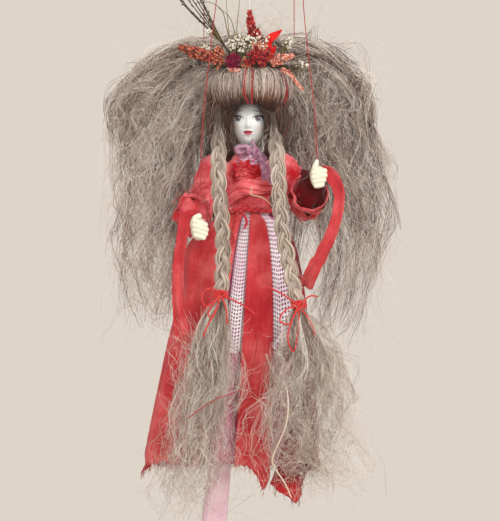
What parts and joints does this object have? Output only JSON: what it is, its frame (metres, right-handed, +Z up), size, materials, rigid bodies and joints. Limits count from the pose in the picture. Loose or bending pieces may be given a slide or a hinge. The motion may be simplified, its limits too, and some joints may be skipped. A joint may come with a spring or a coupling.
{
  "type": "marionette",
  "caption": "String puppet of a long-haired doll in a layered gauze dress, with jointed arms and turning head, hung by its strings from a wooden control bar with a hook.",
  "frame": {"origin": "the point inside the hook's eye, at its top, that bears the puppet's weight", "axes": "+Z up along the head cord, -Y the way the doll faces, +X to the right as seen from the front"},
  "size_m": [0.2603, 0.1388, 0.5461],
  "materials": {
    "wood": "plain sanded beech",
    "steel": "bright wire",
    "white_cord": "twisted cotton cord",
    "red_thread": "twisted thread",
    "porcelain": "satin painted bisque",
    "clay": "satin ivory bisque",
    "red_gauze": "crumpled cotton gauze",
    "dark_gauze": "crumpled cotton gauze",
    "pink_gauze": "thin crinkled gauze",
    "pink_lace": "openwork knitted lace",
    "flax": "combed flax fibre",
    "raffia": "dyed raffia",
    "twig": "dried grass and twig",
    "dried_red": "papery dried petals",
    "dried_orange": "papery dried florets"
  },
  "bodies": {
    "torso": {"control_bar": "wood", "hand_bar": "wood", "shoulder_bar": "wood", "hand_bar_screw": "steel", "shoulder_bar_screw": "steel", "hanging_hook": "steel", "head_cord": "white_cord", "left_shoulder_string": "red_thread", "right_shoulder_string": "red_thread", "left_hand_string": "red_thread", "right_hand_string": "red_thread", "torso": "wood", "neck_dowel": "wood", "shoulder_rod": "steel", "bodice": "red_gauze", "chest_roll": "red_gauze", "neck_scarf": "pink_lace", "waist_sash": "dark_gauze", "underskirt": "pink_gauze", "left_lace": "pink_lace", "right_lace": "pink_lace", "right_gauze": "pink_gauze", "left_panel": "red_gauze", "centre_panel": "red_gauze", "right_panel": "dark_gauze", "back_panel": "red_gauze", "pink_strip": "pink_gauze", "left_hair": "flax", "right_hair": "flax", "back_hair": "flax"},
    "head": {"head": "porcelain", "hair_roll": "flax", "crown_hair": "flax", "wreath": "twig", "red_spike": "dried_red", "grass_stems": "twig", "red_leaf": "dried_red", "orange_plume": "dried_orange", "strawflower": "dried_red", "red_flower": "dried_red", "right_twigs": "twig"},
    "left_upper_arm": {"left_upper_arm": "wood", "left_elbow_pin": "steel", "left_sleeve": "red_gauze"},
    "right_upper_arm": {"right_upper_arm": "wood", "right_elbow_pin": "steel", "right_sleeve": "red_gauze"},
    "left_forearm": {"left_forearm": "wood", "left_hand": "clay"},
    "right_forearm": {"right_forearm": "wood", "right_hand": "clay"},
    "left_ribbon": {"left_ribbon": "red_gauze"},
    "right_ribbon": {"right_ribbon": "red_gauze"},
    "left_braid": {"left_braid": "flax", "left_tie": "raffia", "left_tassel": "flax"},
    "right_braid": {"right_braid": "flax", "right_tie": "raffia", "right_tassel": "flax"}
  },
  "joints": [
    {"name": "head_turn", "type": "hinge", "parent": "torso", "child": "head", "pos_m": [0, 0, -0.205], "axis": [0, 0, 1], "range_deg": [-18, 18]},
    {"name": "left_shoulder", "type": "hinge", "parent": "torso", "child": "left_upper_arm", "pos_m": [-0.032, 0.0042, -0.213], "axis": [-1, 0, 0], "range_deg": [0, 40], "deforming": ["left_hand_string"]},
    {"name": "left_elbow", "type": "hinge", "parent": "left_upper_arm", "child": "left_forearm", "pos_m": [-0.045, 0.006, -0.251], "axis": [-1, 0, 0], "range_deg": [0, 10]},
    {"name": "left_ribbon_hang", "type": "hinge", "parent": "left_forearm", "child": "left_ribbon", "pos_m": [-0.05265, -0.0508, -0.259], "axis": [-1, 0, 0], "range_deg": [-50, 0]},
    {"name": "right_shoulder", "type": "hinge", "parent": "torso", "child": "right_upper_arm", "pos_m": [0.032, 0.0042, -0.213], "axis": [-1, 0, 0], "range_deg": [0, 40], "deforming": ["right_hand_string"]},
    {"name": "right_elbow", "type": "hinge", "parent": "right_upper_arm", "child": "right_forearm", "pos_m": [0.052, 0.002, -0.248], "axis": [-1, 0, 0], "range_deg": [0, 10]},
    {"name": "right_ribbon_hang", "type": "hinge", "parent": "right_forearm", "child": "right_ribbon", "pos_m": [0.06915, -0.0468, -0.213], "axis": [-1, 0, 0], "range_deg": [-50, 0]},
    {"name": "left_braid_swing", "type": "hinge", "parent": "torso", "child": "left_braid", "pos_m": [-0.027, -0.019, -0.16208], "axis": [-1, 0, 0], "range_deg": [0, 30]},
    {"name": "right_braid_swing", "type": "hinge", "parent": "torso", "child": "right_braid", "pos_m": [0.021, -0.02, -0.16478], "axis": [-1, 0, 0], "range_deg": [0, 30]}
  ],
  "couplings": [
    {"joint": "left_elbow", "follows": "left_shoulder", "ratio": 0.25},
    {"joint": "left_ribbon_hang", "follows": "left_shoulder", "ratio": -1.25},
    {"joint": "right_elbow", "follows": "right_shoulder", "ratio": 0.25},
    {"joint": "right_ribbon_hang", "follows": "right_shoulder", "ratio": -1.25}
  ]
}
